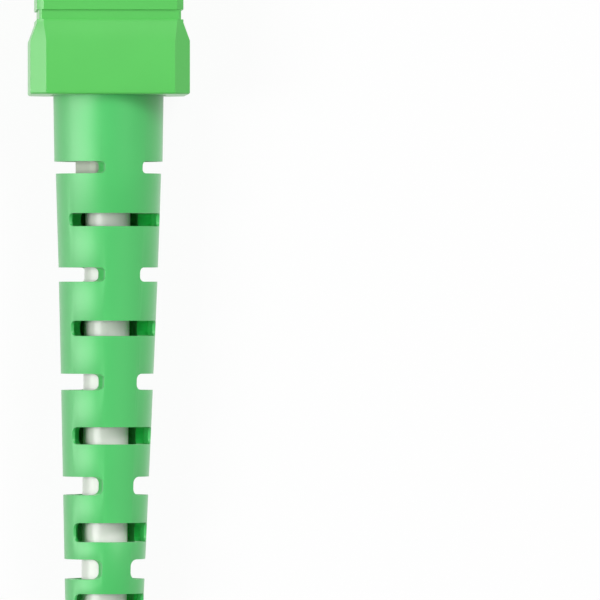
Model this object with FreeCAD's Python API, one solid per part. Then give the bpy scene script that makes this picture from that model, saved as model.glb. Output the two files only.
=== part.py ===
import FreeCAD, Part
import math
import os

# SC plug for fibre, angled polish, on a 2.8 mm cable. Millimetres.
# Pieces are drawn with the plug's axis along Y: y = 0 is the rear face of the outer housing,
# +Y points to the ferrule's tip, the key is on +Z and the axis is z = 0.
# export() then lifts every piece into the part's own frame.

Vector = FreeCAD.Vector
ALONG = Vector(0, 1, 0)
overshoot = 1.0  # how far a cutting body runs past what it cuts

# Outer housing: a rectangular sleeve that ends in a wider block behind its grip.
housing_length = 25.0
sleeve_width = 8.99
sleeve_height = 7.39
sleeve_chamfer = 0.40
nose_chamfer = 0.35
block_step = 0.405  # how far the rear block stands out past the sleeve, all round
block_chamfer = 0.95
block_length = 3.3
block_edge_round = 0.15
flare_length = 1.1
side_wall = 0.795
roof_wall = 0.745
mechanism_length = 18.0  # from the shoulder that the plug frame rests on to the housing's front

# Grip grooves, cut all round the sleeve in front of the flare.
groove_count = 6
groove_width = 0.6
groove_pitch = 1.5
groove_depth = 0.15
groove_chamfer = 0.14
groove_land = 0.2  # flat between the flare and the first groove

# Key on the roof.
key_width = 2.0
key_height = 0.9
key_length = 10.6
key_setback = 2.4  # from the housing's front to the key's front

# Sliding fit between housing and plug frame.
housing_travel = 1.2
slide_clearance = 0.1
stop_clearance = 0.1

# Plug frame: full width at the rear, narrow between the housing's rails, with a latch lug on each side.
frame_recess = 0.6  # its front lies this far inside the housing's front
frame_shoulder = 5.8  # length of the full-width part
frame_nose_width = 5.8
frame_corner = 0.5
frame_bore = 4.6
seat_wall = 1.0
socket_bore = 4.9
socket_lead_in = 0.3
channel_height = 4.0  # free height between the rails, for an adapter's hooks
rail_setback = 1.0
lug_setback = 3.7  # from the frame's shoulder to the lug's rear face
lug_length = 2.8
lug_flat = 1.0
lug_height = 2.8
lug_overlap = 0.25  # how far the lug reaches into the window

# Ferrule and what holds it.
ferrule_diameter = 2.499
ferrule_length = 10.5
ferrule_protrusion = 1.6  # past the housing's front
polish_angle = 8.0
tip_cone_length = 0.6
tip_cone_angle = 40.0
funnel_length = 0.9
fibre_diameter = 0.125
fibre_fit = 0.0005
ferrule_grip = 2.4  # length held in the flange
ferrule_relief = 0.005  # radius lost over that length, to ease the press
flange_boss_diameter = 3.3
flange_boss_length = 1.6
flange_flats = 4.0
flange_corners = 4.4
flange_thickness = 1.7
flange_tail_diameter = 2.6
flange_tail_length = 4.6
flange_web = 0.5
float_travel = 1.0
seat_clearance = 0.05
hex_clearance = 0.05
guide_diameter = 1.45
guide_bore = 1.0
guide_length = 9.0
guide_fit = 0.025

# Spring between flange and stopper.
spring_diameter = 4.2
spring_wire = 0.45
wire_flats = 6  # the round wire is kept as a hexagon, to keep its mesh light
spring_coils = 6.0
spring_end_gap = 0.02

# Stopper: plugs into the frame, and its knurled barrel takes the crimp.
stopper_nose_length = 2.3
collar_clearance = 0.25  # between the stopper's collar and the housing
stopper_collar_length = 1.7
stopper_bore = 2.0
barrel_diameter = 3.8
barrel_length = 6.2
knurl_count = 20
knurl_depth = 0.08
knurl_setback = 0.4  # from the collar
clip_width = 1.6
clip_length = 1.0
clip_reach = 0.4
clip_setback = 0.9
clip_clearance = 0.1

# Cable.
jacket_diameter = 2.8
jacket_bore = 1.8
buffer_diameter = 0.9
yarn_clearance = 0.02
yarn_thickness = 0.16  # of the yarn clamped round the barrel
strip_gap = 1.2  # from the barrel's rear to the jacket's cut end

# Crimp sleeve: round over the barrel, hexagonal over the jacket.
crimp_wall = 0.4
crimp_step = 0.7
crimp_hex_flats = 3.75
crimp_hex_corners = 4.05
crimp_hex_length = 4.7
crimp_clearance = 0.02

# Strain relief boot: a long cone with slots cut from two sides at a time, each level turned a quarter.
boot_diameter = 6.8  # where it leaves the housing
boot_tail_diameter = 4.58
boot_length = 35.5  # behind the housing's rear face
boot_gap = 0.2  # between the boot and the housing's bore
boot_tail_chamfer = 0.3
boot_bore_front = 4.2  # round the crimp's hexagon
boot_bore_tail = 3.7  # round the cable
boot_tail_ring = 1.45
boot_turn = 16.3  # degrees that the slots stand turned from the housing's faces
slot_shares = (0.1256, 0.2163, 0.3113, 0.4045, 0.4975, 0.5907, 0.6777, 0.7583, 0.8223, 0.8825, 0.938)
slot_first_height = 0.75
slot_growth = 0.0193  # height gained for each millimetre towards the tail
slot_end_chamfer = 0.22  # at the slot's inner end, as a share of its height
web_share = 0.37  # half the width of the web between two slots, as a share of the boot's radius
lower_web_share = 0.16  # the same for the webs under the cable
underside_share = 0.6  # floor of the shallower slots underneath, below the axis
pocket_floor_share = 0.05  # floor of the pocket in each upper slot, above the axis
pocket_reach_share = 0.86  # and how far it reaches to each side

# Rest of the cable: out of the boot, down to the surface, and into a tied hank.
lead_route = ((0.0, -35.5, 0.0), (0.0, -41.2, 0.0), (0.0, -47.0, -2.2), (0.0, -52.6, -2.7),
              (0.2, -58.2, -2.68))
hank_run = 17.0  # straight part of each turn
hank_inner_radius = 8.7
hank_columns = 2
hank_layers = 5
hank_front = -56.0  # where the straight parts begin

# Worked out from the sizes above.
block_width = sleeve_width + 2 * block_step
block_height = sleeve_height + 2 * block_step
cavity_width = sleeve_width - 2 * side_wall
cavity_height = sleeve_height - 2 * roof_wall
grip_start = block_length + flare_length
cavity_start = housing_length - mechanism_length
stopper_collar_diameter = cavity_height - 2 * collar_clearance
slot_places = tuple(boot_length * share for share in slot_shares)
rear_bore = boot_diameter + 2 * boot_gap
frame_rear = cavity_start + stop_clearance
frame_front = housing_length - frame_recess
frame_width = cavity_width - 2 * slide_clearance
frame_height = cavity_height - 2 * slide_clearance
shoulder_place = frame_rear + frame_shoulder
rail_start = shoulder_place + housing_travel + stop_clearance
ferrule_tip = housing_length + ferrule_protrusion
ferrule_rear = ferrule_tip - ferrule_length
flange_front = ferrule_rear + ferrule_grip
collar_front = flange_front - flange_boss_length
collar_rear = collar_front - flange_thickness
flange_tail = collar_rear - flange_tail_length
seat_place = collar_front + seat_clearance
socket_floor = seat_place + seat_wall
stopper_nose = frame_rear + stopper_nose_length
collar_back = frame_rear - stopper_collar_length
barrel_end = collar_back - barrel_length
jacket_end = barrel_end - strip_gap
crimp_bore = barrel_diameter + 2 * (yarn_thickness + 2 * yarn_clearance)
crimp_front = collar_back - stop_clearance
crimp_back = barrel_end - crimp_clearance
hex_front = crimp_back - crimp_step
hex_back = hex_front - crimp_hex_length
boot_back = -boot_length
rear_bore_depth = block_length + flare_length / 2
boot_front = rear_bore_depth - housing_travel - 2 * stop_clearance
axis_height = block_height / 2
middle = (ferrule_tip + boot_back) / 2


def octagon(width, height, chamfer, y):
    """A rectangle with cut corners, lying across the axis at y."""
    x, z = width / 2, height / 2
    corners = [
        (x - chamfer, -z), (x, -z + chamfer), (x, z - chamfer), (x - chamfer, z),
        (chamfer - x, z), (-x, z - chamfer), (-x, -z + chamfer), (chamfer - x, -z),
    ]
    return Part.makePolygon([Vector(a, y, b) for a, b in corners + corners[:1]])


def prism(width, height, chamfer, start, end):
    """A bar of that section from start to end along the axis."""
    face = Part.Face(octagon(width, height, chamfer, start))
    return face.extrude(ALONG * (end - start))


def box(x, y, z):
    """A box from three (low, high) pairs."""
    return Part.makeBox(x[1] - x[0], y[1] - y[0], z[1] - z[0], Vector(x[0], y[0], z[0]))


def rod(diameter, start, end):
    """A round bar on the axis from start to end."""
    return Part.makeCylinder(diameter / 2, end - start, Vector(0, start, 0), ALONG)


def turned(profile):
    """A solid turned about the axis from (radius, y) corners."""
    corners = [Vector(r, y, 0) for r, y in profile]
    face = Part.Face(Part.makePolygon(corners + corners[:1]))
    return face.revolve(Vector(0, 0, 0), ALONG, 360)


def hexagon(flats, corners, start, end):
    """A hexagonal bar with its corners turned down to a circle."""
    radius = flats / 2 / math.cos(math.radians(30))
    points = [Vector(radius * math.cos(math.radians(60 * i)), start, radius * math.sin(math.radians(60 * i)))
              for i in range(7)]
    bar = Part.Face(Part.makePolygon(points)).extrude(ALONG * (end - start))
    return bar.common(rod(corners, start, end))


def edges_at(shape, y):
    """The edges of a shape that lie wholly in the plane across the axis at y."""
    return [e for e in shape.Edges if all(abs(v.Point.y - y) < 1e-6 for v in e.Vertexes)]


def housing_outside():
    """The sleeve's outer form: rear block, flare, grip with its grooves, and chamfered nose."""
    block = prism(block_width, block_height, block_chamfer, 0, block_length)
    block = block.makeFillet(block_edge_round, edges_at(block, 0))
    flare = Part.makeLoft([octagon(block_width, block_height, block_chamfer, block_length),
                           octagon(sleeve_width, sleeve_height, sleeve_chamfer, grip_start)], True, True)
    sleeve = prism(sleeve_width, sleeve_height, sleeve_chamfer, grip_start, housing_length)
    sleeve = sleeve.makeChamfer(nose_chamfer, edges_at(sleeve, housing_length))
    core_width, core_height = sleeve_width - 2 * groove_depth, sleeve_height - 2 * groove_depth
    for i in range(groove_count):
        start = grip_start + groove_land + i * groove_pitch
        around = box((-block_width, block_width), (start, start + groove_width), (-block_height, block_height))
        core = prism(core_width, core_height, groove_chamfer, start, start + groove_width)
        sleeve = sleeve.cut(around.cut(core))
    key_front = housing_length - key_setback
    key = box((-key_width / 2, key_width / 2), (key_front - key_length, key_front),
              (sleeve_height / 2 - roof_wall / 2, sleeve_height / 2 + key_height))
    return block.fuse([flare, sleeve, key]).removeSplitter()


def outer_housing():
    """The coupling sleeve, with the boot's bore at the rear and the plug frame's cavity at the front."""
    cavity = box((-cavity_width / 2, cavity_width / 2), (cavity_start, housing_length + overshoot),
                 (-cavity_height / 2, cavity_height / 2))
    rails = []
    rail_face = frame_nose_width / 2 + slide_clearance
    for side in (-1, 1):
        for level in (-1, 1):
            x = sorted((side * rail_face, side * (cavity_width / 2 + side_wall / 2)))
            z = sorted((level * channel_height / 2, level * (cavity_height / 2 + roof_wall / 2)))
            rails.append(box(x, (rail_start, housing_length - rail_setback), z))
    cavity = cavity.cut(rails[0].fuse(rails[1:]))
    window_front = shoulder_place + lug_setback + lug_length + housing_travel
    windows = box((-sleeve_width, sleeve_width), (rail_start, window_front),
                  (-channel_height / 2, channel_height / 2))
    bores = [rod(rear_bore, -overshoot, rear_bore_depth), rod(cavity_height, 0, cavity_start + overshoot)]
    return housing_outside().cut(cavity.fuse([windows] + bores)).removeSplitter()


def latch_lug(side):
    """A wedge on the frame's side: a square rear shoulder, a flat top and a ramp towards the front."""
    root = frame_nose_width / 2 - 0.3
    foot = frame_nose_width / 2 + slide_clearance
    top = cavity_width / 2 + lug_overlap
    rear = shoulder_place + lug_setback
    front = rear + lug_length
    profile = [(root, rear), (top, rear), (top, rear + lug_flat), (foot, front), (root, front)]
    corners = [Vector(side * x, y, -lug_height / 2) for x, y in profile]
    return Part.Face(Part.makePolygon(corners + corners[:1])).extrude(Vector(0, 0, lug_height))


def plug_frame():
    """The inner body: spring chamber at the rear, flange seat, and the socket round the ferrule."""
    rear = prism(frame_width, frame_height, frame_corner, frame_rear, shoulder_place)
    nose = prism(frame_nose_width, frame_height, frame_corner, shoulder_place, frame_front)
    body = rear.fuse([nose, latch_lug(-1), latch_lug(1)])
    seat = hexagon(flange_flats + 2 * hex_clearance, frame_bore, collar_rear + flange_thickness / 2, seat_place)
    hollow = rod(frame_bore, frame_rear - overshoot, collar_rear + flange_thickness / 2).fuse([
        seat,
        rod(flange_boss_diameter + 2 * slide_clearance, seat_place - 0.1, socket_floor + 0.1),
        rod(socket_bore, socket_floor, frame_front + overshoot),
        Part.makeCone(socket_bore / 2, socket_bore / 2 + socket_lead_in, socket_lead_in,
                      Vector(0, frame_front - socket_lead_in, 0), ALONG),
    ])
    clip_start = frame_rear + clip_setback - clip_clearance
    clips = box((-clip_width / 2 - clip_clearance, clip_width / 2 + clip_clearance),
                (clip_start, clip_start + clip_length + 2 * clip_clearance), (-frame_height, frame_height))
    return body.cut(hollow.fuse(clips)).removeSplitter()


def polish_cut():
    """Everything in front of the ferrule's angled end face, whose foremost point is the tip."""
    radius, cone_start = ferrule_diameter / 2, ferrule_tip - tip_cone_length
    taper, slope = math.tan(math.radians(tip_cone_angle)), math.tan(math.radians(polish_angle))
    centre = ferrule_tip * (1 + taper * slope) - (radius + cone_start * taper) * slope
    reach = 2 * ferrule_diameter
    block = box((-reach, reach), (0, reach), (-reach, reach))
    block.rotate(Vector(0, 0, 0), Vector(1, 0, 0), polish_angle)
    block.translate(Vector(0, centre, 0))
    return block


def ferrule():
    """The ceramic cylinder, with a cone at its tip, an angled polish and a funnel for the fibre."""
    radius, bore = ferrule_diameter / 2, fibre_diameter / 2 + fibre_fit
    taper = math.tan(math.radians(tip_cone_angle))
    body = turned([(0, ferrule_rear), (radius - ferrule_relief, ferrule_rear), (radius, flange_front),
                   (radius, ferrule_tip - tip_cone_length),
                   (radius - 2 * tip_cone_length * taper, ferrule_tip + tip_cone_length),
                   (0, ferrule_tip + tip_cone_length)])
    funnel_end = ferrule_rear + funnel_length
    funnel = turned([(0, ferrule_rear), (buffer_diameter / 2, ferrule_rear), (bore, funnel_end),
                     (bore, ferrule_tip + overshoot), (0, ferrule_tip + overshoot)])
    return body.cut(polish_cut()).cut(funnel)


def glass_fibre():
    """The bare glass in the ferrule, from the end of the buffer to the polished face."""
    return rod(fibre_diameter, ferrule_rear, ferrule_tip + overshoot).cut(polish_cut())


def ferrule_flange():
    """The metal holder: boss, hexagonal collar and tail, bored for the ferrule and the guide tube."""
    body = rod(flange_boss_diameter, collar_front, flange_front).fuse([
        hexagon(flange_flats, flange_corners, collar_rear, collar_front),
        rod(flange_tail_diameter, flange_tail, collar_rear),
    ])
    guide_end = ferrule_rear - flange_web
    bores = rod(ferrule_diameter + 2 * fibre_fit, ferrule_rear, flange_front + overshoot).fuse([
        rod(guide_bore, guide_end - flange_web, ferrule_rear + flange_web),
        rod(guide_diameter + 2 * guide_fit, flange_tail - overshoot, guide_end),
    ])
    return body.cut(bores).removeSplitter()


def guide_tube():
    """The plastic tube in the flange's tail that leads the buffer to the ferrule."""
    front = ferrule_rear - flange_web
    rear = front - guide_length
    return rod(guide_diameter, rear, front).cut(rod(guide_bore, rear - overshoot, front + overshoot))


def float_spring():
    """The coil spring that presses the flange forward."""
    radius = (spring_diameter - spring_wire) / 2
    low = stopper_nose + spring_wire / 2 + spring_end_gap
    high = collar_rear - spring_wire / 2 - spring_end_gap
    path = Part.makeHelix((high - low) / spring_coils, high - low, radius)
    corners = [Vector(radius, 0, 0) + Vector(spring_wire / 2 * math.cos(math.tau * i / wire_flats), 0,
                                             spring_wire / 2 * math.sin(math.tau * i / wire_flats))
               for i in range(wire_flats)]
    coil = Part.Wire(path).makePipeShell([Part.makePolygon(corners + corners[:1])], True, True)
    coil.rotate(Vector(0, 0, 0), Vector(1, 0, 0), -90)
    coil.translate(Vector(0, low, 0))
    return coil


def stopper():
    """The rear body: nose with two clips in the frame, collar, and knurled barrel."""
    nose = rod(frame_bore - slide_clearance, frame_rear, stopper_nose)
    clip_start = frame_rear + clip_setback
    clip_top = frame_bore / 2 + clip_reach
    clips = box((-clip_width / 2, clip_width / 2), (clip_start, clip_start + clip_length), (-clip_top, clip_top))
    collar = rod(stopper_collar_diameter, collar_back, frame_rear)
    barrel = rod(barrel_diameter, barrel_end, collar_back)
    grooves = []
    for i in range(knurl_count):
        groove = box((barrel_diameter / 2 - knurl_depth, barrel_diameter),
                     (barrel_end - overshoot, collar_back - knurl_setback), (-knurl_depth, knurl_depth))
        groove.rotate(Vector(0, 0, 0), ALONG, 360 * i / knurl_count)
        grooves.append(groove)
    body = nose.fuse([clips, collar, barrel.cut(grooves[0].fuse(grooves[1:]))])
    return body.cut(rod(stopper_bore, barrel_end - overshoot, stopper_nose + overshoot)).removeSplitter()


def crimp_sleeve():
    """The metal sleeve: round over the barrel and the yarn, stepped down to a hexagon on the jacket."""
    large, small = crimp_bore / 2 + crimp_wall, crimp_hex_corners / 2
    outside = turned([(0, hex_front), (small, hex_front), (large, crimp_back), (large, crimp_front),
                      (0, crimp_front)])
    outside = outside.fuse(hexagon(crimp_hex_flats, crimp_hex_corners, hex_back, hex_front))
    jacket = jacket_diameter / 2 + crimp_clearance
    rear, front = hex_back - overshoot, crimp_front + overshoot
    inside = turned([(0, rear), (jacket, rear), (jacket, hex_front), (crimp_bore / 2, crimp_back),
                     (crimp_bore / 2, front), (0, front)])
    return outside.cut(inside).removeSplitter()


def aramid_yarn():
    """The yarn round the buffer, which fans out at the jacket's end and is clamped round the barrel."""
    inner, outer = buffer_diameter / 2 + yarn_clearance, jacket_bore / 2 - yarn_clearance
    clamped = barrel_diameter / 2 + yarn_clearance
    return turned([(inner, boot_back), (outer, boot_back), (outer, jacket_end),
                   (clamped + yarn_thickness, barrel_end - 2 * yarn_clearance),
                   (clamped + yarn_thickness, crimp_front), (clamped, crimp_front),
                   (clamped, barrel_end - yarn_clearance), (inner, barrel_end - strip_gap / 2)])


def cable_jacket():
    """The white jacket inside the boot, from its cut end under the crimp to the boot's tail."""
    bore = rod(jacket_bore, boot_back - overshoot, jacket_end + overshoot)
    return rod(jacket_diameter, boot_back, jacket_end).cut(bore)


def tight_buffer():
    """The coated fibre from the cable to the ferrule."""
    return rod(buffer_diameter, boot_back, ferrule_rear)


def boot_radius(depth):
    """The boot's outer radius at that depth behind the housing."""
    return (boot_diameter - (boot_diameter - boot_tail_diameter) * max(depth, 0) / boot_length) / 2


def slot_cut(depth, turn, floor, low_side, high_side):
    """One cut into the boot: outwards from its floor, between two sides, turned about the axis."""
    height = slot_first_height + slot_growth * (depth - slot_places[0])
    cut = box((floor, boot_diameter), (-depth - height / 2, -depth + height / 2), (low_side, high_side))
    ends = [e for e in cut.Edges if all(abs(v.Point.x - floor) < 1e-6 for v in e.Vertexes)
            and abs(e.Vertexes[0].Point.y - e.Vertexes[1].Point.y) < 1e-6]
    cut = cut.makeChamfer(slot_end_chamfer * height, ends)
    cut.rotate(Vector(0, 0, 0), ALONG, turn)
    return cut


def side_slots(depth):
    """The two cuts from left and right, which leave a broad web on top and a narrow one underneath."""
    radius, reach = boot_radius(depth), boot_diameter
    web, lower_web = web_share * radius, lower_web_share * radius
    return [slot_cut(depth, boot_turn, web, -reach, reach),
            slot_cut(depth, boot_turn + 180, web, -reach, reach),
            slot_cut(depth, boot_turn, lower_web, -reach, 0),
            slot_cut(depth, boot_turn + 180, lower_web, 0, reach)]


def face_slots(depth):
    """A shallow cut from below, and one from above with a deep pocket between thin walls."""
    radius, reach = boot_radius(depth), boot_diameter
    web, wide = web_share * radius, pocket_reach_share * radius
    return [slot_cut(depth, boot_turn + 90, underside_share * radius, -reach, reach),
            slot_cut(depth, boot_turn + 270, web, -reach, reach),
            slot_cut(depth, boot_turn + 270, pocket_floor_share * radius, -wide, wide)]


def strain_boot():
    """The flexible boot: a slotted cone over the crimp and the cable, with a plain ring at its tail."""
    front, tail, ring = boot_diameter / 2, boot_tail_diameter / 2, -boot_length + boot_tail_ring
    outside = turned([(0, boot_back), (tail - boot_tail_chamfer, boot_back),
                      (tail, boot_back + boot_tail_chamfer), (front, 0), (front, boot_front), (0, boot_front)])
    inside = rod(jacket_diameter + slide_clearance, boot_back - overshoot, boot_front).fuse([
        rod(boot_bore_tail, ring, hex_back),
        rod(boot_bore_front, hex_back - crimp_step, hex_front),
        rod(crimp_bore + 2 * (crimp_wall + crimp_clearance), hex_front - crimp_clearance,
            boot_front + overshoot),
    ])
    slots = []
    for level, depth in enumerate(slot_places):
        slots += face_slots(depth) if level % 2 else side_slots(depth)
    return outside.cut(inside).cut(slots[0].fuse(slots[1:]))


def rounded_route(points):
    """A wire of straight runs joined by tangent arcs as large as the runs allow."""
    points = [Vector(*p) for p in points]
    edges, start, radii = [], points[0], []
    for before, corner, after in zip(points, points[1:], points[2:]):
        back, ahead = (before - corner).normalize(), (after - corner).normalize()
        turn = math.pi - back.getAngle(ahead)
        cut = 0.45 * min((before - corner).Length, (after - corner).Length)
        radius = cut / math.tan(turn / 2)
        radii.append(round(radius, 1))
        first, last = corner + back * cut, corner + ahead * cut
        middle_way = (back + ahead).normalize()
        centre = corner + middle_way * (radius / math.cos(turn / 2))
        edges += [Part.LineSegment(start, first).toShape(),
                  Part.Arc(first, centre - middle_way * radius, last).toShape()]
        start = last
    edges.append(Part.LineSegment(start, points[-1]).toShape())
    print("cord_lead bends, mm:", radii)
    return Part.Wire(edges)


def cord_lead():
    """The cable from the boot's tail down to the surface and into the hank."""
    path = rounded_route(lead_route)
    section = Part.Wire(Part.makeCircle(jacket_diameter / 2, Vector(*lead_route[0]),
                                        Vector(*lead_route[1]) - Vector(*lead_route[0])))
    tube = path.makePipeShell([section], True, True)
    share = tube.Volume / (math.pi * jacket_diameter ** 2 / 4 * path.Length)
    print("cord_lead volume over section times length:", round(share, 4))
    return tube


def stadium(radius, run, x, front, base, height):
    """A flat bar with round ends, whose straight part runs back from front."""
    ends = [Part.makeCylinder(radius, height, Vector(x, y, base)) for y in (front, front - run)]
    middle_part = box((x - radius, x + radius), (front - run, front), (base, base + height))
    return middle_part.fuse(ends).removeSplitter()


def cord_hank():
    """The outer shape of the tied hank, with its turns beside and on each other."""
    outer = hank_inner_radius + (hank_columns - 0.5) * jacket_diameter
    inner = hank_inner_radius - jacket_diameter / 2
    x = -(hank_inner_radius + (hank_columns - 1) * jacket_diameter)
    height = hank_layers * jacket_diameter
    hole = stadium(inner, hank_run, x, hank_front, -axis_height - overshoot, height + 2 * overshoot)
    return stadium(outer, hank_run, x, hank_front, -axis_height, height).cut(hole)


PIECES = (outer_housing, plug_frame, ferrule, glass_fibre, ferrule_flange, guide_tube, float_spring, stopper,
          crimp_sleeve, aramid_yarn, cable_jacket, tight_buffer, strain_boot, cord_lead, cord_hank)


def export():
    """Writes each piece in the part's frame: origin on the surface, under the middle of plug and boot."""
    os.makedirs("parts", exist_ok=True)
    for make in PIECES:
        shape = make()
        shape.translate(Vector(0, -middle, axis_height))
        shape.exportStep("parts/" + make.__name__ + ".step")
        print(make.__name__, shape.isValid(), len(shape.Solids), round(shape.Volume, 3))


export()
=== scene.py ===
"""A single-fibre plug with a push-pull sleeve, a slotted boot and its cable, dressed for rendering.

Lengths are metres, in the part's own frame: +Y runs from the cable to the ferrule's tip and +Z is up.
"""
import math

import bmesh
import bpy
from bpy.props import FloatProperty, FloatVectorProperty, IntProperty, PointerProperty
from mathutils import Matrix, Vector


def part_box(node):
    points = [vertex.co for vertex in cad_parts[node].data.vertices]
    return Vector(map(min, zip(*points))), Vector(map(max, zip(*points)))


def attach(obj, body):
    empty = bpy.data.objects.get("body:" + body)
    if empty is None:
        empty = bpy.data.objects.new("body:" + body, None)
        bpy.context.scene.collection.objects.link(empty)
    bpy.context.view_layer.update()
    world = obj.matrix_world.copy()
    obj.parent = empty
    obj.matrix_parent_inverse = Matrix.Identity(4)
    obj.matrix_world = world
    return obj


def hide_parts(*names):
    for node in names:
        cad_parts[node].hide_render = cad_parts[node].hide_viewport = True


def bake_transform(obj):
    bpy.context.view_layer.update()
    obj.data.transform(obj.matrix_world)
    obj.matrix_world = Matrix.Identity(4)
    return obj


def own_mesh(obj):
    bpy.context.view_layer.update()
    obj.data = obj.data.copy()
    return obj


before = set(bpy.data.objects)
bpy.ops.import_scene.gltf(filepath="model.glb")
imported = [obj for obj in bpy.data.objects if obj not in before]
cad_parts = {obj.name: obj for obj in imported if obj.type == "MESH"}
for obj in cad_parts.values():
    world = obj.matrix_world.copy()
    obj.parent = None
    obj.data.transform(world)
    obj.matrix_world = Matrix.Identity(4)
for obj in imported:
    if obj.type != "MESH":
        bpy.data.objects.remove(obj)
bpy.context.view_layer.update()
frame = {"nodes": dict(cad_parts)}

bl_info = {
    "name": "Fibre Plug",
    "version": (1, 0, 0),
    "blender": (4, 5, 0),
    "location": "3D View > Sidebar > Fibre Plug",
    "description": "Dresses a fibre plug, its boot and its cable, and sets the stage",
    "category": "Object",
}

MM = 0.001
INNER, GRIP, UNIT = "inner_body", "grip_sleeve", "ferrule_unit"

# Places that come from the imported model.
REAR_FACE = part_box("outer_housing")[0].y
BOOT_LOW, BOOT_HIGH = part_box("strain_boot")
AXIS_Z = (BOOT_LOW.z + BOOT_HIGH.z) / 2
BOOT_RADIUS = (BOOT_HIGH.x - BOOT_LOW.x) / 2
BOOT_LENGTH = REAR_FACE - BOOT_LOW.y
SPRING_LOW, SPRING_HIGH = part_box("float_spring")
FERRULE_LOW, FERRULE_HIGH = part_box("ferrule")
HANK_LOW, HANK_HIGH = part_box("cord_hank")

# The boot's slots: places behind the housing as shares of the boot's length.
SLOT_SHARES = (0.1256, 0.2163, 0.3113, 0.4045, 0.4975, 0.5907, 0.6777, 0.7583, 0.8223, 0.8825, 0.938)
SLOT_GROWTH = 0.0193  # height gained for each unit of length towards the tail

# The boot is flexible: straight for a first stretch behind the housing, then leaning a little to the left.
LEAN_START, LEAN_ROUND = 8.0 * MM, 4.0 * MM
# Its first stretch is a collar that tapers less, and runs into the cone within the first slots' height.
COLLAR_LENGTH, COLLAR_TAPER, COLLAR_END = 4.1 * MM, 0.06 * MM, 4.85 * MM
TAIL_EDGE, FRONT_EDGE = 0.3 * MM, 0.12 * MM
TAIL_RING = 1.45 * MM  # length of the plain ring that holds the cable
CABLE_GAP, CRIMP_GAP = 0.05 * MM, 0.02 * MM
HEXAGON_LENGTH, HEXAGON_BORE = 4.7 * MM, 2.1 * MM  # where the boot grips the crimp's hexagon
CUTTER_REACH = 10.0  # how far a slot's cutter reaches outwards, in slot heights

# How deep under the boot's cone the slots' matt finish and their painted lighter colour start and are
# complete; the lighter colour stands in for light that reaches into the slots.
SKIN_DEPTH, SHELTER_DEPTH = 0.08 * MM, 0.5 * MM
SHELTER_MATT, SHELTER_PAINTED_LIGHT = 0.4, 1.25  # roughness added there, and its colour over the skin's

FIBRE_BORE = 0.063 * MM
POLISH_ANGLE, TIP_CONE_ANGLE, TIP_CONE = math.radians(8.0), math.radians(40.0), 0.6 * MM
FUNNEL_RADIUS, FUNNEL_DEPTH, FERRULE_EDGE = 0.45 * MM, 0.9 * MM, 0.1 * MM
JACKET_BORE, JACKET_EDGE = 0.9 * MM, 0.05 * MM
BUFFER_ROWS = 60  # rings along the buffered fibre


# ---------------------------------------------------------------- sizes and colours

def length(name, description, default, low=0.0):
    """A property that holds a length."""
    return FloatProperty(name=name, description=description, default=default, min=low, unit="LENGTH",
                         subtype="DISTANCE", precision=5)


def angle(name, description, degrees):
    """A property that holds an angle."""
    return FloatProperty(name=name, description=description, default=math.radians(degrees), unit="ROTATION",
                         subtype="ANGLE")


def share(name, description, default):
    """A property that holds a share between none and all."""
    return FloatProperty(name=name, description=description, default=default, min=0.0, max=1.0,
                         subtype="FACTOR")


def colour(name, description, default):
    """A property that holds a colour."""
    return FloatVectorProperty(name=name, description=description, default=default, size=3, min=0.0, max=1.0,
                               subtype="COLOR")


class PlugSizes(bpy.types.PropertyGroup):
    """Sizes that a user would change."""
    housing_edge: length("Housing Edge", "Rounding of the housing's edges", 0.07 * MM)
    frame_edge: length("Frame Edge", "Rounding of the inner frame's edges", 0.05 * MM)
    boot_tail: length("Boot Tail Radius", "Outer radius of the boot at its tail", 2.29 * MM)
    boot_bore: length("Boot Bore Radius", "Radius of the boot's bore round the cable", 1.85 * MM)
    boot_edge: length("Boot Edge", "Rounding of the slots' edges", 0.06 * MM)
    boot_lean: share("Boot Lean", "How far the flexible boot leans aside, for each unit of its length", 0.013)
    boot_turn: angle("Boot Turn", "How far the slots stand turned from the housing's faces", 16.3)
    slot_height: length("Slot Height", "Height of the slot nearest the housing", 0.75 * MM)
    slot_round: share("Slot End", "Radius of a slot's inner corners over its height", 0.35)
    web_share: share("Web", "Half width of the web between two slots over the boot's radius", 0.37)
    lower_web: share("Lower Web", "The same for the webs under the cable", 0.16)
    underside: share("Underside Slots", "Floor of the slots underneath over the boot's radius", 0.7)
    pocket_floor: share("Pocket Floor", "Floor of a pocket above the axis over the boot's radius", 0.05)
    pocket_reach: share("Pocket Reach", "Half width of a pocket over the boot's radius", 0.86)
    cable_diameter: length("Cable Diameter", "Diameter of the cable's jacket", 2.8 * MM)
    cable_length: length("Cable Length", "Length of the cable outside the boot", 1.0)
    spring_wire: length("Spring Wire", "Diameter of the spring's wire", 0.45 * MM)
    spring_turns: IntProperty(name="Spring Turns", description="Free turns of the spring", default=6, min=2)


class PlugColours(bpy.types.PropertyGroup):
    """Colours that a user would change."""
    shell: colour("Housing", "Moulded housing", (0.038, 0.470, 0.041))
    boot: colour("Boot", "Flexible boot", (0.010, 0.455, 0.068))
    frame: colour("Inner Frame", "Moulded inner frame", (0.82, 0.82, 0.79))
    jacket: colour("Jacket", "Cable jacket", (0.90, 0.86, 0.85))
    yarn: colour("Yarn", "Strength yarn in the cable", (0.80, 0.60, 0.16))
    tie: colour("Tie", "Straps round the hank", (0.018, 0.018, 0.020))
    floor: colour("Floor", "Floor under the part", (0.90, 0.90, 0.90))


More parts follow.
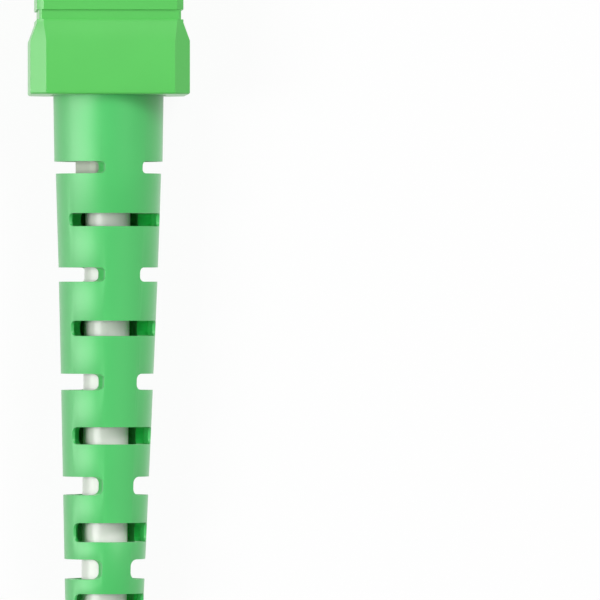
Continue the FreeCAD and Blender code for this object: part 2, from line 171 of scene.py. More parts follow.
class StageSettings(bpy.types.PropertyGroup):
    """Light and camera."""
    key_glow: FloatProperty(name="Key", description="Brightness of the overhead softbox", default=6.9)
    side_glow: FloatProperty(name="Side", description="Brightness of the side softbox", default=5.0)
    slot_glow: FloatProperty(name="Slots", description="Brightness of the light into the slots", default=14.2)
    fill_glow: FloatProperty(name="Fill", description="Brightness of the surroundings", default=0.33)
    camera_lean: angle("Camera Lean", "How far the camera stands to the left of straight above", 3.0)
    view_width: length("View Width", "Width that the camera sees at the part's axis", 37.04 * MM)


def sizes():
    """The scene's sizes."""
    return bpy.context.scene.plug_sizes


def colours():
    """The scene's colours."""
    return bpy.context.scene.plug_colours


# ---------------------------------------------------------------- node trees

class Graph:
    """Adds nodes to a tree and links them, so that a tree reads as a list of steps."""

    def __init__(self, tree):
        self.tree = tree

    def add(self, kind, settings=None, inputs=None):
        """A node with its settings, and with values or links on its inputs."""
        node = self.tree.nodes.new(kind)
        for name, value in (settings or {}).items():
            setattr(node, name, value)
        for key, value in (inputs or {}).items():
            self.put(node.inputs[key], value)
        return node

    def put(self, socket, value):
        """Links a socket, or sets its value."""
        if isinstance(value, bpy.types.NodeSocket):
            self.tree.links.new(value, socket)
        else:
            socket.default_value = value

    def math(self, operation, first, second=0.0):
        """One sum on numbers."""
        return self.add("ShaderNodeMath", {"operation": operation}, {0: first, 1: second}).outputs[0]

    def blend(self, factor, first, second, mode="MIX"):
        """A mix of two colours."""
        node = self.add("ShaderNodeMix", {"data_type": "RGBA", "blend_type": mode}, {0: factor})
        self.put(node.inputs[6], first)
        self.put(node.inputs[7], second)
        return node.outputs[2]


def new_tree(name, kind, inputs, outputs):
    """A node tree with named sockets, and its input and output nodes."""
    tree = bpy.data.node_groups.new(name, kind)
    for socket_name, socket_type, default in inputs:
        socket = tree.interface.new_socket(socket_name, in_out="INPUT", socket_type=socket_type)
        if default is not None:
            socket.default_value = default
    for socket_name, socket_type in outputs:
        tree.interface.new_socket(socket_name, in_out="OUTPUT", socket_type=socket_type)
    graph = Graph(tree)
    return graph, graph.add("NodeGroupInput").outputs, graph.add("NodeGroupOutput").inputs


def grain_group():
    """Moulded plastic: faint patches in tone and gloss, and a fine grain, all in millimetres."""
    name = "Moulded Grain"
    if name in bpy.data.node_groups:
        return bpy.data.node_groups[name]
    graph, given, made = new_tree(name, "ShaderNodeTree", [
        ("Colour", "NodeSocketColor", (0.5, 0.5, 0.5, 1.0)),
        ("Tone", "NodeSocketFloat", 0.06),
        ("Roughness", "NodeSocketFloat", 0.4),
        ("Grain Size", "NodeSocketFloat", 8.0),
    ], [("Colour", "NodeSocketColor"), ("Roughness", "NodeSocketFloat"), ("Height", "NodeSocketFloat")])
    in_mm = in_millimetres(graph)
    patches = graph.add("ShaderNodeTexNoise", None,
                        {"Vector": in_mm, "Scale": 0.35, "Detail": 3.0, "Roughness": 0.55}).outputs[0]
    grain = graph.add("ShaderNodeTexNoise", None,
                      {"Vector": in_mm, "Scale": given["Grain Size"], "Detail": 2.0}).outputs[0]
    swing = graph.math("SUBTRACT", patches, 0.5)
    tone = graph.math("ADD", graph.math("MULTIPLY", swing, given["Tone"]), 1.0)
    level = graph.add("ShaderNodeCombineColor", None, {0: tone, 1: tone, 2: tone}).outputs[0]
    graph.put(made["Colour"], graph.blend(1.0, given["Colour"], level, "MULTIPLY"))
    uneven = graph.math("MULTIPLY", swing, 0.16)
    fine = graph.math("MULTIPLY", graph.math("SUBTRACT", grain, 0.5), 0.08)
    graph.put(made["Roughness"], graph.math("ADD", graph.math("ADD", given["Roughness"], uneven), fine))
    graph.put(made["Height"], grain)
    return graph.tree


def turning_group():
    """Turned metal: fine rings round the plug's axis, in millimetres."""
    name = "Turning Marks"
    if name in bpy.data.node_groups:
        return bpy.data.node_groups[name]
    graph, given, made = new_tree(name, "ShaderNodeTree", [
        ("Roughness", "NodeSocketFloat", 0.25),
        ("Rings per mm", "NodeSocketFloat", 9.0),
    ], [("Roughness", "NodeSocketFloat"), ("Height", "NodeSocketFloat")])
    place = graph.add("ShaderNodeTexCoord").outputs["Object"]
    stretched = graph.add("ShaderNodeMapping", None, {"Vector": place, "Scale": (60, 1000, 60)}).outputs[0]
    rings = graph.add("ShaderNodeTexNoise", None,
                      {"Vector": stretched, "Scale": given["Rings per mm"], "Detail": 3.0}).outputs[0]
    spread = graph.math("MULTIPLY", graph.math("SUBTRACT", rings, 0.5), 0.3)
    graph.put(made["Roughness"], graph.math("ADD", given["Roughness"], spread))
    graph.put(made["Height"], rings)
    return graph.tree


def in_millimetres(graph):
    """The place on a piece, in millimetres."""
    place = graph.add("ShaderNodeTexCoord").outputs["Object"]
    return graph.add("ShaderNodeMapping", None, {"Vector": place, "Scale": (1000, 1000, 1000)}).outputs[0]


def bare_material(name):
    """A new material, its graph and its shader."""
    material = bpy.data.materials.new(name)
    material.use_nodes = True
    material.node_tree.nodes.clear()
    graph = Graph(material.node_tree)
    shader = graph.add("ShaderNodeBsdfPrincipled")
    graph.add("ShaderNodeOutputMaterial", None, {"Surface": shader.outputs[0]})
    return material, graph, shader


def under_skin(graph):
    """How far a point of the boot lies under its outer cone, from 0 on the skin to 1 in the slots."""
    place = graph.add("ShaderNodeTexCoord").outputs["Object"]
    x = graph.add("ShaderNodeAttribute", {"attribute_name": "straight_x"}).outputs["Fac"]
    y, z = graph.add("ShaderNodeSeparateXYZ", None, {0: place}).outputs[1:]
    up = graph.math("SUBTRACT", z, AXIS_Z)
    around = graph.math("ADD", graph.math("MULTIPLY", x, x), graph.math("MULTIPLY", up, up))
    taper = (BOOT_RADIUS - sizes().boot_tail) / BOOT_LENGTH
    cone = graph.math("ADD", graph.math("MULTIPLY", y, taper), BOOT_RADIUS - taper * REAR_FACE)
    depth = graph.math("SUBTRACT", cone, graph.math("SQRT", around))
    return graph.add("ShaderNodeMapRange", None, {
        "Value": depth, "From Min": SKIN_DEPTH, "From Max": SHELTER_DEPTH}).outputs[0]


def moulded(name, tint, roughness, tone=0.06, bump=0.04, grain=8.0, settings=None, shelter=None):
    """Moulded or extruded plastic; its sheltered part is matt and painted paler, standing in for light that
    reaches into it; the rest as the settings say.
    """
    if name in bpy.data.materials:
        return bpy.data.materials[name]
    material, graph, shader = bare_material(name)
    group = graph.add("ShaderNodeGroup", {"node_tree": grain_group()}, {
        "Colour": (*tint, 1.0), "Tone": tone, "Roughness": roughness, "Grain Size": grain})
    relief = graph.add("ShaderNodeBump", None,
                       {"Strength": bump, "Distance": 0.02 * MM, "Height": group.outputs["Height"]})
    graph.put(shader.inputs["Base Color"], group.outputs["Colour"])
    graph.put(shader.inputs["Roughness"], group.outputs["Roughness"])
    graph.put(shader.inputs["Normal"], relief.outputs[0])
    for key, value in (settings or {}).items():
        shader.inputs[key].default_value = value
    if shelter:
        hidden = shelter(graph)
        matt = graph.math("MULTIPLY", hidden, SHELTER_MATT)
        # Painted light: the sheltered part's colour is lifted above the skin's, standing in for light that
        # reaches into the slots.
        pale = tuple(SHELTER_PAINTED_LIGHT * part for part in tint) + (1.0,)
        graph.put(shader.inputs["Base Color"], graph.blend(hidden, group.outputs["Colour"], pale))
        graph.put(shader.inputs["Roughness"], graph.math("ADD", group.outputs["Roughness"], matt))
        graph.put(shader.inputs["Coat Weight"], graph.math("SUBTRACT", 1.0, hidden))
    return material


def metal(name, tint, roughness, rings=9.0, bump=0.15):
    """Turned, drawn or plated metal."""
    if name in bpy.data.materials:
        return bpy.data.materials[name]
    material, graph, shader = bare_material(name)
    group = graph.add("ShaderNodeGroup", {"node_tree": turning_group()},
                      {"Roughness": roughness, "Rings per mm": rings})
    relief = graph.add("ShaderNodeBump", None,
                       {"Strength": bump, "Distance": 0.01 * MM, "Height": group.outputs["Height"]})
    shader.inputs["Base Color"].default_value = (*tint, 1.0)
    shader.inputs["Metallic"].default_value = 1.0
    graph.put(shader.inputs["Roughness"], group.outputs["Roughness"])
    graph.put(shader.inputs["Normal"], relief.outputs[0])
    return material


def strands(name, tint, roughness):
    """Loose yarn: streaks along the cable in two tones."""
    if name in bpy.data.materials:
        return bpy.data.materials[name]
    material, graph, shader = bare_material(name)
    place = graph.add("ShaderNodeTexCoord").outputs["Object"]
    along = graph.add("ShaderNodeMapping", None, {"Vector": place, "Scale": (9000, 500, 9000)}).outputs[0]
    streaks = graph.add("ShaderNodeTexNoise", None, {"Vector": along, "Scale": 1.0, "Detail": 3.0}).outputs[0]
    dark = tuple(0.55 * part for part in tint) + (1.0,)
    relief = graph.add("ShaderNodeBump", None, {"Strength": 0.6, "Distance": 0.05 * MM, "Height": streaks})
    graph.put(shader.inputs["Base Color"], graph.blend(streaks, dark, (*tint, 1.0)))
    graph.put(shader.inputs["Normal"], relief.outputs[0])
    shader.inputs["Roughness"].default_value = roughness
    return material


def looped(name, tint):
    """Hook-and-loop strap: a dense pile of tiny loops."""
    if name in bpy.data.materials:
        return bpy.data.materials[name]
    material, graph, shader = bare_material(name)
    pile = graph.add("ShaderNodeTexVoronoi", None,
                     {"Vector": in_millimetres(graph), "Scale": 5.0}).outputs["Distance"]
    light = tuple(3.0 * part for part in tint) + (1.0,)
    relief = graph.add("ShaderNodeBump", None, {"Strength": 0.8, "Distance": 0.08 * MM, "Height": pile})
    graph.put(shader.inputs["Base Color"], graph.blend(pile, (*tint, 1.0), light))
    graph.put(shader.inputs["Normal"], relief.outputs[0])
    shader.inputs["Roughness"].default_value = 0.85
    return material


def clear(name, tint, roughness):
    """Glass or a clear tube."""
    if name in bpy.data.materials:
        return bpy.data.materials[name]
    material, graph, shader = bare_material(name)
    place = graph.add("ShaderNodeTexCoord").outputs["Object"]
    haze = graph.add("ShaderNodeTexNoise", None, {"Vector": place, "Scale": 900.0}).outputs[0]
    graph.put(shader.inputs["Roughness"], graph.math("ADD", graph.math("MULTIPLY", haze, 0.05), roughness))
    shader.inputs["Base Color"].default_value = (*tint, 1.0)
    shader.inputs["Transmission Weight"].default_value = 1.0
    return material


def jacket_white():
    """The cable's jacket."""
    return moulded("Jacket", colours().jacket, 0.38, tone=0.04, bump=0.05, grain=5.0, settings={
        "Coat Weight": 0.5, "Coat Roughness": 0.3})


def buffer_white():
    """The buffered fibre."""
    return moulded("Buffer", (0.88, 0.88, 0.84), 0.4)


def yarn_gold():
    """The strength yarn."""
    return strands("Yarn", colours().yarn, 0.6)


def nickel_plate():
    """The plated turned parts."""
    return metal("Nickel Plate", (0.66, 0.64, 0.60), 0.22)


# ---------------------------------------------------------------- mesh helpers

def put_object(name, data):
    """Adds an object to the scene."""
    piece = bpy.data.objects.new(name, data)
    bpy.context.scene.collection.objects.link(piece)
    return piece


def mesh_from(bm, name):
    """A mesh from a finished bmesh."""
    mesh = bpy.data.meshes.new(name)
    bm.to_mesh(mesh)
    bm.free()
    return mesh


def settle(piece):
    """Makes what the modifiers give the piece's own mesh, and removes them."""
    bpy.context.view_layer.update()
    graph = bpy.context.evaluated_depsgraph_get()
    made = bpy.data.meshes.new_from_object(piece.evaluated_get(graph), depsgraph=graph)
    piece.modifiers.clear()
    made.name = piece.name
    piece.data = made
    return piece


def soften(piece, width, segments=3, limit=30.0):
    """Rounds the piece's sharp edges and shades it smooth."""
    bevel = piece.modifiers.new("Edges", "BEVEL")
    bevel.width = width
    bevel.segments = segments
    bevel.limit_method = "ANGLE"
    bevel.angle_limit = math.radians(limit)
    bevel.use_clamp_overlap = True
    bevel.harden_normals = False
    piece.data.shade_smooth()
    weigh = piece.modifiers.new("Normals", "WEIGHTED_NORMAL")
    weigh.keep_sharp = False
    weigh.weight = 100
    return settle(piece)


def merged_copy(node, name):
    """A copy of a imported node's mesh with its loose triangles joined into whole faces."""
    bm = bmesh.new()
    bm.from_mesh(frame["nodes"][node].data)
    bmesh.ops.remove_doubles(bm, verts=bm.verts, dist=0.0005 * MM)
    bmesh.ops.dissolve_limit(bm, angle_limit=math.radians(0.5), verts=bm.verts, edges=bm.edges)
    return put_object(name, mesh_from(bm, name))


def lathe(name, profile, rings=96):
    """A closed shape turned about the plug's axis from (radius, y) corners, listed round the section."""
    bm = bmesh.new()
    rows = []
    for radius, y in profile:
        if radius < 1e-9:
            rows.append([bm.verts.new((0, y, AXIS_Z))])
            continue
        turns = (math.tau * i / rings for i in range(rings))
        rows.append([bm.verts.new((radius * math.cos(t), y, AXIS_Z + radius * math.sin(t))) for t in turns])
    closed = len(rows[0]) > 1
    pairs = zip(rows, rows[1:] + rows[:1] if closed else rows[1:])
    for low, high in pairs:
        for i in range(rings):
            corners = [row[(i + step) % len(row)] for row, step in ((low, 0), (low, 1), (high, 1), (high, 0))]
            corners = list(dict.fromkeys(corners))
            bm.faces.new(corners)
    bmesh.ops.recalc_face_normals(bm, faces=bm.faces)
    return put_object(name, mesh_from(bm, name))


def arc(centre, radius, start, end, steps=6):
    """(radius, y) points on a quarter round, by angle from the radius axis towards +Y."""
    turns = [math.radians(start + (end - start) * i / steps) for i in range(steps + 1)]
    return [(centre[0] + radius * math.cos(t), centre[1] + radius * math.sin(t)) for t in turns]


def paint(piece, material):
    """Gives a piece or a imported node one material."""
    piece.data.materials.clear()
    piece.data.materials.append(material)
    return piece


# ---------------------------------------------------------------- the boot's slots

def slot_tree():
    """Cuts the slots: each loose point holds one cut's height, turn, floor and two sides."""
    graph, given, made = new_tree("Boot Slots", "GeometryNodeTree", [
        ("Geometry", "NodeSocketGeometry", None),
        ("Turn", "NodeSocketFloat", 0.3),
        ("End Round", "NodeSocketFloat", 0.35),
        ("Material", "NodeSocketMaterial", None),
    ], [("Geometry", "NodeSocketGeometry")])

    def stored(name):
        return graph.add("GeometryNodeInputNamedAttribute", {"data_type": "FLOAT"}, {"Name": name}).outputs[0]

    height, low_side = stored("slot_height"), stored("slot_low_side")
    parts = graph.add("GeometryNodeSeparateGeometry", {"domain": "POINT"}, {
        "Geometry": given["Geometry"], "Selection": graph.math("GREATER_THAN", height, 0.0)})
    turn = graph.math("ADD", stored("slot_turn"), given["Turn"])
    corner = graph.add("ShaderNodeCombineXYZ", None, {0: stored("slot_floor"), 2: low_side}).outputs[0]
    offset = graph.add("ShaderNodeVectorRotate", {"rotation_type": "Y_AXIS"},
                       {"Vector": corner, "Angle": turn}).outputs[0]
    placed = graph.add("GeometryNodeSetPosition", None, {"Geometry": parts.outputs[0], "Offset": offset})
    outline = graph.add("GeometryNodeCurvePrimitiveQuadrilateral", None,
                        {"Width": CUTTER_REACH, "Height": 1.0})
    rounded = graph.add("GeometryNodeFilletCurve", {"mode": "POLY"},
                        {"Curve": outline.outputs[0], "Count": 6, "Radius": given["End Round"]})
    shifted = graph.add("GeometryNodeTransform", None,
                        {"Geometry": rounded.outputs[0], "Translation": (CUTTER_REACH / 2, 0.0, 0.0)})
    line = graph.add("GeometryNodeCurvePrimitiveLine", None, {"Start": (0, 0, 0), "End": (0, 0, 1)})
    cutter = graph.add("GeometryNodeCurveToMesh", None, {
        "Curve": line.outputs[0], "Profile Curve": shifted.outputs[0], "Fill Caps": True})
    span = graph.math("SUBTRACT", stored("slot_high_side"), low_side)
    size = graph.add("ShaderNodeCombineXYZ", None, {0: height, 1: height, 2: span})
    facing = graph.add("ShaderNodeCombineXYZ", None, {1: turn})
    cutters = graph.add("GeometryNodeInstanceOnPoints", None, {
        "Points": placed.outputs[0], "Instance": cutter.outputs[0], "Rotation": facing.outputs[0],
        "Scale": size.outputs[0]})
    real = graph.add("GeometryNodeRealizeInstances", None, {0: cutters.outputs[0]})
    cut = graph.add("GeometryNodeMeshBoolean", {"operation": "DIFFERENCE", "solver": "EXACT"},
                    {"Mesh 1": parts.outputs[1], "Mesh 2": real.outputs[0], "Self Intersection": True})
    whole = graph.add("GeometryNodeRealizeInstances", None, {0: cut.outputs[0]})
    done = graph.add("GeometryNodeSetMaterial", None,
                     {"Geometry": whole.outputs[0], "Material": given["Material"]})
    graph.put(made["Geometry"], done.outputs[0])
    return graph.tree


def slot_cuts():
    """Every cut as (y, height, turn, floor, low side, high side): levels from the side and from the face."""
    size = sizes()
    reach = 2 * BOOT_RADIUS
    cuts = []
    for level, part in enumerate(SLOT_SHARES):
        depth = part * BOOT_LENGTH
        radius = boot_radius(depth)
        height = size.slot_height + SLOT_GROWTH * (depth - SLOT_SHARES[0] * BOOT_LENGTH)
        web, lower_web = size.web_share * radius, size.lower_web * radius
        floor, wide = size.pocket_floor * radius, size.pocket_reach * radius
        from_sides = ((0, web, -reach, reach), (180, web, -reach, reach),
                      (0, lower_web, -reach, 0), (180, lower_web, 0, reach))
        from_faces = ((90, size.underside * radius, -reach, reach), (270, web, -reach, reach),
                      (270, floor, -wide, wide))
        for turn, low, *sides in from_faces if level % 2 else from_sides:
            cuts.append((REAR_FACE - depth, height, math.radians(turn), low, *sides))
    return cuts


def run_tree(piece, tree, **values):
    """Runs a geometry tree on a piece with inputs given by name, and keeps the result as a plain mesh."""
    step = piece.modifiers.new(tree.name, "NODES")
    step.node_group = tree
    sockets = {item.name: item.identifier for item in tree.interface.items_tree if item.in_out == "INPUT"}
    for key, value in values.items():
        step[sockets[key.replace("_", " ")]] = value
    return settle(piece)


def boot_radius(depth):
    """The boot's outer radius at a depth behind the housing."""
    return BOOT_RADIUS + (sizes().boot_tail - BOOT_RADIUS) * depth / BOOT_LENGTH


def lean_at(y):
    """How far the flexible boot and its cable lie aside of the plug's axis at a place along them."""
    run = max(0.0, REAR_FACE - LEAN_START - y)
    return -sizes().boot_lean * (math.hypot(run, LEAN_ROUND) - LEAN_ROUND)


def lean(piece):
    """Leans a straight piece with the boot, and keeps its straight x for the material."""
    straight = piece.data.attributes.new("straight_x", "FLOAT", "POINT")
    for vertex, kept in zip(piece.data.vertices, straight.data):
        kept.value = vertex.co.x
        vertex.co.x += lean_at(vertex.co.y)
    return piece


def boot_blank():
    """The boot before its slots: a long cone with a stepped bore, and one loose point for each slot level."""
    size = sizes()
    tail, front = BOOT_LOW.y, BOOT_HIGH.y
    grip, ring = size.cable_diameter / 2 + CABLE_GAP, tail + TAIL_RING
    crimp_low, crimp_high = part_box("crimp_sleeve")
    crimp = (crimp_high.x - crimp_low.x) / 2 + CRIMP_GAP
    hexagon_end, hexagon_start = crimp_low.y, crimp_low.y + HEXAGON_LENGTH
    profile = [(grip, tail)]
    profile += arc((size.boot_tail - TAIL_EDGE, tail + TAIL_EDGE), TAIL_EDGE, -90, 0)
    profile += [(boot_radius(COLLAR_END), REAR_FACE - COLLAR_END),
                (BOOT_RADIUS - COLLAR_TAPER, REAR_FACE - COLLAR_LENGTH), (BOOT_RADIUS, REAR_FACE)]
    profile += arc((BOOT_RADIUS - FRONT_EDGE, front - FRONT_EDGE), FRONT_EDGE, 0, 90)
    profile += [(crimp, front), (crimp, hexagon_start), (HEXAGON_BORE, hexagon_start),
                (HEXAGON_BORE, hexagon_end), (size.boot_bore, hexagon_end), (size.boot_bore, ring),
                (grip, ring)]
    piece = lathe("boot_sleeve", profile, rings=128)
    bm = bmesh.new()
    bm.from_mesh(piece.data)
    names = ("slot_height", "slot_turn", "slot_floor", "slot_low_side", "slot_high_side")
    layers = [bm.verts.layers.float.new(name) for name in names]
    for y, *values in slot_cuts():
        point = bm.verts.new((0, y, AXIS_Z))
        for layer, value in zip(layers, values):
            point[layer] = value
    bm.to_mesh(piece.data)
    bm.free()
    return piece


class PLUG_OT_boot(bpy.types.Operator):
    """Makes the slotted boot"""
    bl_idname = "plug.boot"
    bl_label = "Boot"

    def execute(self, context):
        size = sizes()
        rubber = moulded("Boot Plastic", colours().boot, 0.40, tone=0.10, bump=0.05, shelter=under_skin,
                         settings={"Coat Roughness": 0.65, "Coat IOR": 1.65, "Sheen Weight": 0.3,
                                   "Sheen Roughness": 0.5})
        piece = run_tree(boot_blank(), slot_tree(), Turn=size.boot_turn, End_Round=size.slot_round,
                         Material=rubber)
        if not piece.data.polygons:
            raise RuntimeError("the boot came out empty")
        soften(piece, size.boot_edge, segments=2)
        paint(lean(piece), rubber)
        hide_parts("strain_boot")
        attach(piece, INNER)
        return {"FINISHED"}


# ---------------------------------------------------------------- housing and mechanism

class PLUG_OT_housing(bpy.types.Operator):
    """Makes the coupling housing with its rounded edges"""
    bl_idname = "plug.housing"
    bl_label = "Housing"

    def execute(self, context):
        piece = merged_copy("outer_housing", "coupling_housing")
        soften(piece, sizes().housing_edge)
        paint(piece, moulded("Housing Plastic", colours().shell, 0.36, tone=0.07, bump=0.035, settings={
            "Coat Weight": 1.0, "Coat Roughness": 0.6, "Coat IOR": 1.6}))
        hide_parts("outer_housing")
        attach(piece, GRIP)
        return {"FINISHED"}


def spring_tree():
    """A compression spring: free turns between two closed ends, swept with a round wire."""
    graph, given, made = new_tree("Coil Spring", "GeometryNodeTree", [
        ("Geometry", "NodeSocketGeometry", None),
        ("Turns", "NodeSocketFloat", 6.0),
        ("Height", "NodeSocketFloat", 5.0 * MM),
        ("Radius", "NodeSocketFloat", 1.9 * MM),
        ("Wire", "NodeSocketFloat", 0.45 * MM),
        ("Material", "NodeSocketMaterial", None),
    ], [("Geometry", "NodeSocketGeometry")])
    points_per_turn, wire_sides = 48.0, 16
    end_turn, closing = 0.08, 0.35  # share of the line that each closed end takes, and how tightly it closes
    steps = graph.math("MULTIPLY", given["Turns"], points_per_turn)
    line = graph.add("GeometryNodeCurvePrimitiveLine", None, {"Start": (0, 0, 0), "End": (0, 1, 0)})
    path = graph.add("GeometryNodeResampleCurve", {"mode": "COUNT"},
                     {"Curve": line.outputs[0], "Count": steps})
    along = graph.add("GeometryNodeSplineParameter").outputs["Factor"]
    turn = graph.math("MULTIPLY", graph.math("MULTIPLY", along, given["Turns"]), math.tau)
    eased = graph.add("ShaderNodeMapRange", {"interpolation_type": "SMOOTHSTEP"},
                      {"Value": along, "From Min": end_turn, "From Max": 1 - end_turn}).outputs[0]
    share_up = graph.math("ADD", graph.math("MULTIPLY", eased, closing),
                          graph.math("MULTIPLY", along, 1 - closing))
    place = graph.add("ShaderNodeCombineXYZ", None, {
        0: graph.math("MULTIPLY", graph.math("COSINE", turn), given["Radius"]),
        1: graph.math("MULTIPLY", share_up, given["Height"]),
        2: graph.math("MULTIPLY", graph.math("SINE", turn), given["Radius"])})
    coil = graph.add("GeometryNodeSetPosition", None,
                     {"Geometry": path.outputs[0], "Position": place.outputs[0]})
    wire = graph.add("GeometryNodeCurvePrimitiveCircle", {"mode": "RADIUS"},
                     {"Resolution": wire_sides, "Radius": graph.math("MULTIPLY", given["Wire"], 0.5)})
    swept = graph.add("GeometryNodeCurveToMesh", None, {
        "Curve": coil.outputs[0], "Profile Curve": wire.outputs[0], "Fill Caps": True})
    smooth = graph.add("GeometryNodeSetShadeSmooth", None, {"Geometry": swept.outputs[0]})
    real = graph.add("GeometryNodeRealizeInstances", None, {0: smooth.outputs[0]})
    done = graph.add("GeometryNodeSetMaterial", None,
                     {"Geometry": real.outputs[0], "Material": given["Material"]})
    graph.put(made["Geometry"], done.outputs[0])
    return graph.tree


class PLUG_OT_spring(bpy.types.Operator):
    """Makes the spring behind the ferrule"""
    bl_idname = "plug.spring"
    bl_label = "Spring"

    def execute(self, context):
        size = sizes()
        steel = metal("Spring Steel", (0.56, 0.56, 0.55), 0.28, rings=3.0)
        wire = size.spring_wire
        height = SPRING_HIGH.y - SPRING_LOW.y - wire
        radius = (SPRING_HIGH.x - SPRING_LOW.x - wire) / 2
        piece = put_object("float_spring_coil", bpy.data.meshes.new("float_spring_coil"))
        run_tree(piece, spring_tree(), Turns=float(size.spring_turns), Height=height, Radius=radius,
                 Wire=wire, Material=steel)
        piece.data.transform(Matrix.Translation((0, SPRING_LOW.y + wire / 2, AXIS_Z)))
        paint(piece, steel)
        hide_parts("float_spring")
        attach(piece, INNER)
        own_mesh(piece)
        return {"FINISHED"}


class PLUG_OT_ferrule(bpy.types.Operator):
    """Makes the polished ferrule and its holder"""
    bl_idname = "plug.ferrule"
    bl_label = "Ferrule"

    def execute(self, context):
        ceramic = moulded("Zirconia", (0.86, 0.86, 0.84), 0.16, tone=0.02, bump=0.01, settings={
            "IOR": 2.1, "Coat Weight": 0.2, "Coat Roughness": 0.05})
        nickel = nickel_plate()
        radius = (FERRULE_HIGH.x - FERRULE_LOW.x) / 2
        tip, rear = FERRULE_HIGH.y, FERRULE_LOW.y
        slope, taper = math.tan(POLISH_ANGLE), math.tan(TIP_CONE_ANGLE)
        past = tip + TIP_CONE
        profile = [(FIBRE_BORE, rear + FUNNEL_DEPTH), (FUNNEL_RADIUS, rear), (radius - FERRULE_EDGE, rear),
                   (radius, rear + FERRULE_EDGE), (radius, tip - TIP_CONE),
                   (radius - (past - tip + TIP_CONE) * taper, past), (FIBRE_BORE, past)]
        piece = lathe("ferrule_polished", profile, rings=128)
        centre = tip * (1 + taper * slope) - (radius + (tip - TIP_CONE) * taper) * slope
        bm = bmesh.new()
        bm.from_mesh(piece.data)
        cut = bmesh.ops.bisect_plane(bm, geom=bm.verts[:] + bm.edges[:] + bm.faces[:], clear_outer=True,
                                     plane_co=(0, centre, AXIS_Z), plane_no=(0, 1, slope))
        rim = [e for e in cut["geom_cut"] if isinstance(e, bmesh.types.BMEdge)]
        bmesh.ops.triangle_fill(bm, edges=rim, use_beauty=True)
        bmesh.ops.recalc_face_normals(bm, faces=bm.faces)
        bm.to_mesh(piece.data)
        bm.free()
        soften(piece, 0.03 * MM, segments=2, limit=20.0)
        paint(piece, ceramic)
        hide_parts("ferrule")
        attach(piece, UNIT)
        holder = soften(merged_copy("ferrule_flange", "ferrule_holder"), 0.05 * MM, segments=2)
        paint(holder, nickel)
        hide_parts("ferrule_flange")
        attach(holder, UNIT)
        paint(frame["nodes"]["glass_fibre"], clear("Glass", (0.9, 0.95, 0.95), 0.02))
        paint(frame["nodes"]["guide_tube"], clear("Clear Tube", (0.9, 0.9, 0.86), 0.2))
        return {"FINISHED"}


class PLUG_OT_inner(bpy.types.Operator):
    """Makes the inner frame, the stopper and the crimped cable end"""
    bl_idname = "plug.inner"
    bl_label = "Inner Pieces"

    def execute(self, context):
        tint = colours()
        nickel = nickel_plate()
        finish = {
            "plug_frame": ("latch_frame", moulded("Frame Plastic", tint.frame, 0.32, tone=0.04, bump=0.03),
                           "white_shell", sizes().frame_edge),
            "stopper": ("rear_stopper", nickel, "nickel", 0.04 * MM),
            "crimp_sleeve": ("crimp_ring", metal("Crimp Metal", (0.54, 0.55, 0.50), 0.80, rings=5.0),
                             "crimp_metal", 0.05 * MM),
        }
        for node, (name, material, slot_name, edge) in finish.items():
            piece = soften(merged_copy(node, name), edge, segments=2)
            paint(piece, material)
            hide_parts(node)
            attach(piece, INNER)
        size = sizes()
        low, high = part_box("cable_jacket")
        outer = size.cable_diameter / 2
        profile = [(JACKET_BORE, low.y), (outer, low.y), (outer, high.y - JACKET_EDGE),
                   (outer - JACKET_EDGE, high.y), (JACKET_BORE, high.y)]
        inside = lathe("jacket_end", profile, rings=64)
        soften(inside, 0.02 * MM, segments=2, limit=40.0)
        paint(lean(inside), jacket_white())
        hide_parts("cable_jacket")
        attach(inside, INNER)
        yarn = lean(merged_copy("aramid_yarn", "yarn_sleeve"))
        paint(yarn, yarn_gold())
        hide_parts("aramid_yarn")
        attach(yarn, INNER)
        self.buffer()
        return {"FINISHED"}

    def buffer(self):
        """The buffered fibre, as a rod that leans with the boot."""
        low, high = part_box("tight_buffer")
        radius = (high.x - low.x) / 2
        rows = [low.y + (high.y - low.y) * i / BUFFER_ROWS for i in range(BUFFER_ROWS + 1)]
        profile = [(0, low.y)] + [(radius, y) for y in rows] + [(0, high.y)]
        piece = lean(lathe("buffer_line", profile, rings=32))
        soften(piece, 0.01 * MM, segments=1, limit=60.0)
        paint(piece, buffer_white())
        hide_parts("tight_buffer")
        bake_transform(piece)


# ---------------------------------------------------------------- the cable

# The lead and the hank, in millimetres.
LEAD = ((0.0, -31.05, 4.1), (0.0, -36.75, 4.1), (0.0, -42.55, 1.9), (0.0, -48.15, 1.4))
LEAD_SHARES = (1.0, 1.2, 0.5, 0.0)  # of the boot's lean at its tail, at each of these points
HANK_RUN = 17.0
INNER_TURN = 8.7
COLUMNS, LAYERS = 2, 5
TURNS = 9.5
POINTS_PER_TURN = 20
SHIFT = 0.1  # share of a turn that a change of place takes

STRAP_WIDTH, STRAP_THICKNESS, STRAP_CORNER = 5.0 * MM, 0.32 * MM, 1.3 * MM
STRAP_BOTTOM = 0.34 * MM  # height of its inner face under the hank
TAB_SHARE, TAB_STOP, TAB_LIFT = 0.48, 0.4 * MM, 0.02 * MM  # the lapped end: half width, and its gaps
STUB_ROOT, STUB_EDGE = 0.3 * MM, 0.06 * MM


def hank_cell(number):
    """(column, layer) of a turn: outer and inner by turns, up through the layers."""
    layer = number // COLUMNS
    column = number % COLUMNS
    return (column if layer % 2 == 0 else COLUMNS - 1 - column), layer


def hank_place(turn):
    """The (column, layer) at a place along the hank, in turns, with smooth changes between cells."""
    column, layer = hank_cell(0)
    for change in range(1, COLUMNS * LAYERS):
        start = change * (1 - SHIFT / 2) - SHIFT / 2
        part = min(max((turn - start) / SHIFT, 0.0), 1.0)
        part = part * part * (3 - 2 * part)
        next_column, next_layer = hank_cell(change)
        column += part * (next_column - hank_cell(change - 1)[0])
        layer += part * (next_layer - hank_cell(change - 1)[1])
    return column, layer


